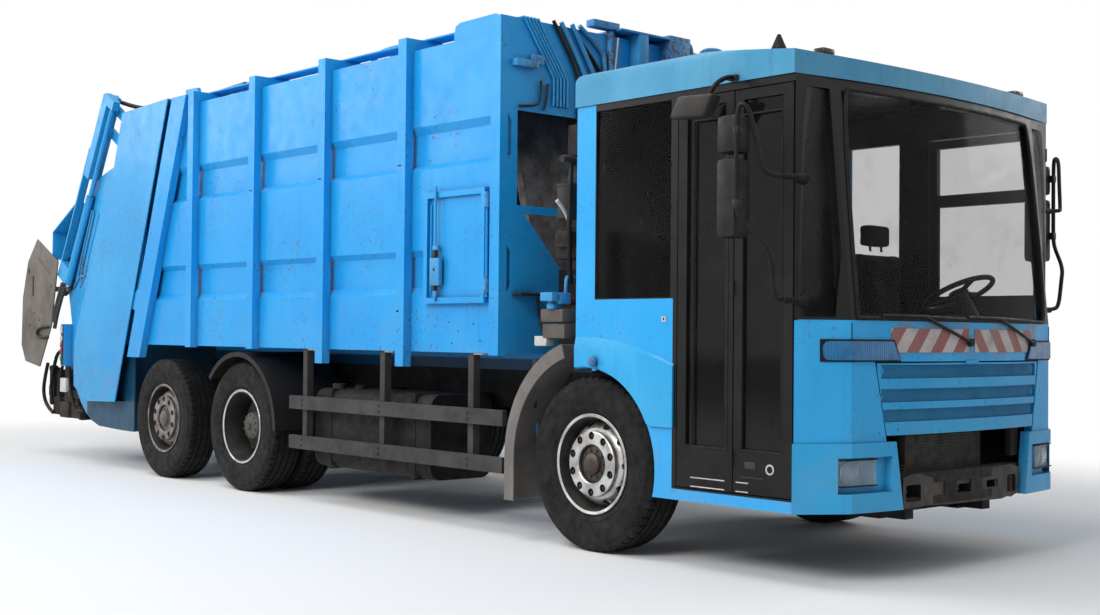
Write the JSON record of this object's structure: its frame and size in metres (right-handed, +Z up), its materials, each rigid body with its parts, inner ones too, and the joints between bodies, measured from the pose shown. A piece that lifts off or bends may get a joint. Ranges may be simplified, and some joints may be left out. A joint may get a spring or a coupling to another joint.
{
  "type": "refuse collection truck",
  "caption": "Three-axle rear-loading refuse truck with a low-entry cab, folding entry door, ribbed load body, lifting tailgate, packer and bin lifter.",
  "frame": {"origin": "on the ground under the middle of the whole truck", "axes": "+X forwards to the cab, +Y to the truck's left, +Z up"},
  "size_m": [10.3389, 3.15, 3.5136],
  "materials": {
    "cab_paint": "gloss",
    "body_paint": "gloss",
    "chassis_paint": "satin",
    "bare_steel": "worn",
    "wheel_steel": "worn",
    "cast": "rough",
    "tyre_rubber": "matt",
    "trim_black": "matt",
    "guard_grey": "matt",
    "glass_dark": "clear",
    "lamp_lens": "clear",
    "seat_cloth": "woven",
    "radiator_alu": "dull",
    "cylinder_chrome": "polished"
  },
  "bodies": {
    "chassis": {"chassis_frame": "chassis_paint", "engine_block": "cast", "radiator": "radiator_alu", "side_tanks": "chassis_paint", "side_guards": "chassis_paint", "mudguards": "guard_grey", "front_axle": "chassis_paint", "drive_axle": "chassis_paint", "trailing_axle": "chassis_paint", "cab_body": "cab_paint", "cab_roof": "cab_paint", "cab_glass": "glass_dark", "nose_panel": "cab_paint", "bumper_corners": "cab_paint", "front_lamps": "lamp_lens", "seats": "seat_cloth", "dashboard": "trim_black", "wipers": "trim_black", "mirrors_right": "trim_black", "cab_rear_equipment": "chassis_paint", "body_shell": "body_paint", "body_ribs": "body_paint", "roof_pipes": "body_paint"},
    "knuckle_front_left": {"knuckle_front_left": "chassis_paint"},
    "wheel_front_left": {"rim_front_left": "wheel_steel", "tyre_front_left": "tyre_rubber"},
    "knuckle_trailing_left": {"knuckle_trailing_left": "chassis_paint"},
    "wheel_trailing_left": {"rim_trailing_left": "wheel_steel", "tyre_trailing_left": "tyre_rubber"},
    "wheels_drive_left": {"rims_drive_left": "wheel_steel", "tyres_drive_left": "tyre_rubber"},
    "lift_barrel_left": {"lift_barrel_left": "body_paint"},
    "lift_rod_left": {"lift_rod_left": "cylinder_chrome"},
    "knuckle_front_right": {"knuckle_front_right": "chassis_paint"},
    "wheel_front_right": {"rim_front_right": "wheel_steel", "tyre_front_right": "tyre_rubber"},
    "knuckle_trailing_right": {"knuckle_trailing_right": "chassis_paint"},
    "wheel_trailing_right": {"rim_trailing_right": "wheel_steel", "tyre_trailing_right": "tyre_rubber"},
    "wheels_drive_right": {"rims_drive_right": "wheel_steel", "tyres_drive_right": "tyre_rubber"},
    "lift_barrel_right": {"lift_barrel_right": "body_paint"},
    "lift_rod_right": {"lift_rod_right": "cylinder_chrome"},
    "driver_door": {"driver_door": "cab_paint", "driver_door_glass": "glass_dark", "mirrors_left": "trim_black"},
    "door_rear": {"door_leaf_rear": "trim_black", "door_glass_rear": "glass_dark"},
    "door_front": {"door_leaf_front": "trim_black", "door_glass_front": "glass_dark"},
    "front_flap": {"front_flap": "cab_paint"},
    "side_hatch": {"side_hatch": "body_paint"},
    "ejector": {"ejector": "bare_steel"},
    "tailgate": {"tailgate_hopper": "body_paint", "tailgate_covers": "body_paint", "packer_guides": "body_paint", "lifter_shields": "bare_steel"},
    "packer_carriage": {"packer_carriage": "body_paint"},
    "packer_blade": {"packer_blade": "bare_steel"},
    "bin_lifter": {"bin_lifter": "chassis_paint"}
  },
  "joints": [
    {"name": "steer_front_left", "type": "hinge", "parent": "chassis", "child": "knuckle_front_left", "pos_m": [3.3405, 0.88, 0.52], "axis": [0, 0, 1], "range_deg": [-38, 38]},
    {"name": "spin_front_left", "type": "hinge", "parent": "knuckle_front_left", "child": "wheel_front_left", "pos_m": [3.3405, 1.067, 0.52], "axis": [0, 1, 0], "continuous": true},
    {"name": "steer_trailing_left", "type": "hinge", "parent": "chassis", "child": "knuckle_trailing_left", "pos_m": [-2.1095, 0.88, 0.52], "axis": [0, 0, 1], "range_deg": [-11.4, 11.4]},
    {"name": "spin_trailing_left", "type": "hinge", "parent": "knuckle_trailing_left", "child": "wheel_trailing_left", "pos_m": [-2.1095, 1.067, 0.52], "axis": [0, 1, 0], "continuous": true},
    {"name": "spin_drive_left", "type": "hinge", "parent": "chassis", "child": "wheels_drive_left", "pos_m": [-0.7595, 0.902, 0.52], "axis": [0, 1, 0], "continuous": true},
    {"name": "steer_front_right", "type": "hinge", "parent": "chassis", "child": "knuckle_front_right", "pos_m": [3.3405, -0.88, 0.52], "axis": [0, 0, 1], "range_deg": [-38, 38]},
    {"name": "spin_front_right", "type": "hinge", "parent": "knuckle_front_right", "child": "wheel_front_right", "pos_m": [3.3405, -1.067, 0.52], "axis": [0, 1, 0], "continuous": true},
    {"name": "steer_trailing_right", "type": "hinge", "parent": "chassis", "child": "knuckle_trailing_right", "pos_m": [-2.1095, -0.88, 0.52], "axis": [0, 0, 1], "range_deg": [-11.4, 11.4]},
    {"name": "spin_trailing_right", "type": "hinge", "parent": "knuckle_trailing_right", "child": "wheel_trailing_right", "pos_m": [-2.1095, -1.067, 0.52], "axis": [0, 1, 0], "continuous": true},
    {"name": "spin_drive_right", "type": "hinge", "parent": "chassis", "child": "wheels_drive_right", "pos_m": [-0.7595, -0.902, 0.52], "axis": [0, 1, 0], "continuous": true},
    {"name": "driver_door_hinge", "type": "hinge", "parent": "chassis", "child": "driver_door", "pos_m": [4.8875, 1.25, 1.5], "axis": [0, 0, -1], "range_deg": [0, 70]},
    {"name": "entry_door_hinge", "type": "hinge", "parent": "chassis", "child": "door_rear", "pos_m": [4.0715, -1.203, 1.5], "axis": [0, 0, 1], "range_deg": [0, 85]},
    {"name": "entry_door_fold", "type": "hinge", "parent": "door_rear", "child": "door_front", "pos_m": [4.4815, -1.249, 1.5], "axis": [0, 0, 1], "range_deg": [-170, 0]},
    {"name": "front_flap_hinge", "type": "hinge", "parent": "chassis", "child": "front_flap", "pos_m": [5.1455, 0, 1.157], "axis": [0, -1, 0], "range_deg": [0, 80]},
    {"name": "side_hatch_hinge", "type": "hinge", "parent": "chassis", "child": "side_hatch", "pos_m": [2.3745, -1.222, 1.858], "axis": [0, 0, 1], "range_deg": [0, 100]},
    {"name": "ejector_slide", "type": "slide", "parent": "chassis", "child": "ejector", "axis": [-1, 0, 0], "range_m": [0, 3.55]},
    {"name": "tailgate_hinge", "type": "hinge", "parent": "chassis", "child": "tailgate", "pos_m": [-1.9095, 0, 3.36], "axis": [0, 1, 0], "range_deg": [0, 90]},
    {"name": "lift_cylinder_pivot_left", "type": "hinge", "parent": "chassis", "child": "lift_barrel_left", "pos_m": [-2.5895, 1.202, 1.55], "axis": [0, 1, 0], "range_deg": [-2.7, 0]},
    {"name": "lift_rod_slide_left", "type": "slide", "parent": "lift_barrel_left", "child": "lift_rod_left", "axis": [0.0952, 0, 0.9955], "range_m": [0, 1.01]},
    {"name": "lift_cylinder_pivot_right", "type": "hinge", "parent": "chassis", "child": "lift_barrel_right", "pos_m": [-2.5895, -1.202, 1.55], "axis": [0, 1, 0], "range_deg": [-2.7, 0]},
    {"name": "lift_rod_slide_right", "type": "slide", "parent": "lift_barrel_right", "child": "lift_rod_right", "axis": [0.0952, 0, 0.9955], "range_m": [0, 1.01]},
    {"name": "packer_slide", "type": "slide", "parent": "tailgate", "child": "packer_carriage", "axis": [-0.5, 0, -0.866], "range_m": [0, 0.9]},
    {"name": "packer_blade_hinge", "type": "hinge", "parent": "packer_carriage", "child": "packer_blade", "pos_m": [-2.9295, 0, 1.89942], "axis": [0, 1, 0], "range_deg": [0, 104]},
    {"name": "bin_lifter_hinge", "type": "hinge", "parent": "tailgate", "child": "bin_lifter", "pos_m": [-4.2195, 0, 1.25], "axis": [0, 1, 0], "range_deg": [0, 115]}
  ],
  "couplings": [
    {"joint": "steer_front_right", "follows": "steer_front_left", "ratio": 1},
    {"joint": "steer_trailing_left", "follows": "steer_front_left", "ratio": -0.3},
    {"joint": "steer_trailing_right", "follows": "steer_front_left", "ratio": -0.3},
    {"joint": "entry_door_fold", "follows": "entry_door_hinge", "ratio": -2},
    {"joint": "lift_rod_slide_left", "follows": "tailgate_hinge", "m_per_rad": 0.639},
    {"joint": "lift_cylinder_pivot_left", "follows": "tailgate_hinge", "ratio": -0.03},
    {"joint": "lift_rod_slide_right", "follows": "tailgate_hinge", "m_per_rad": 0.639},
    {"joint": "lift_cylinder_pivot_right", "follows": "tailgate_hinge", "ratio": -0.03}
  ]
}
